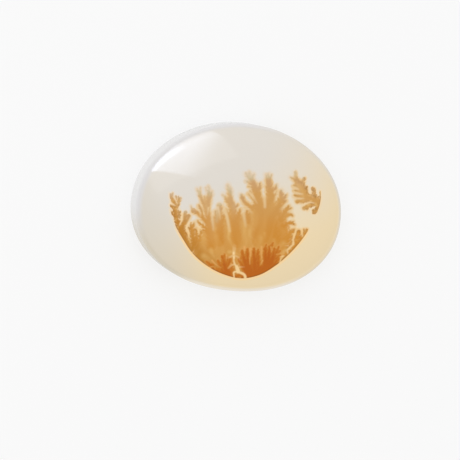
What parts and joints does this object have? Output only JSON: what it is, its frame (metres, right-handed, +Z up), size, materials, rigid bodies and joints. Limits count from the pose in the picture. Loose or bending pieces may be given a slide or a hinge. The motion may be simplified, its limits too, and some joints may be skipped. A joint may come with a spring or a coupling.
{
  "type": "dendritic agate cabochon",
  "caption": "Oval polished stone of milky chalcedony with orange-brown fern-like growth inside it; low dome, upright side wall and flat back to rest on.",
  "frame": {"origin": "middle of the outline's bounding box, on the plane of the flat back that the stone rests on", "axes": "+Z up from the flat back to the top of the dome, +X along the long axis of the oval, +Y along its short axis towards the top of the growth"},
  "size_m": [0.0202, 0.0158, 0.0052],
  "materials": {
    "milky_chalcedony": "polished"
  },
  "bodies": {
    "root": {"agate_stone": "milky_chalcedony"}
  },
  "joints": []
}
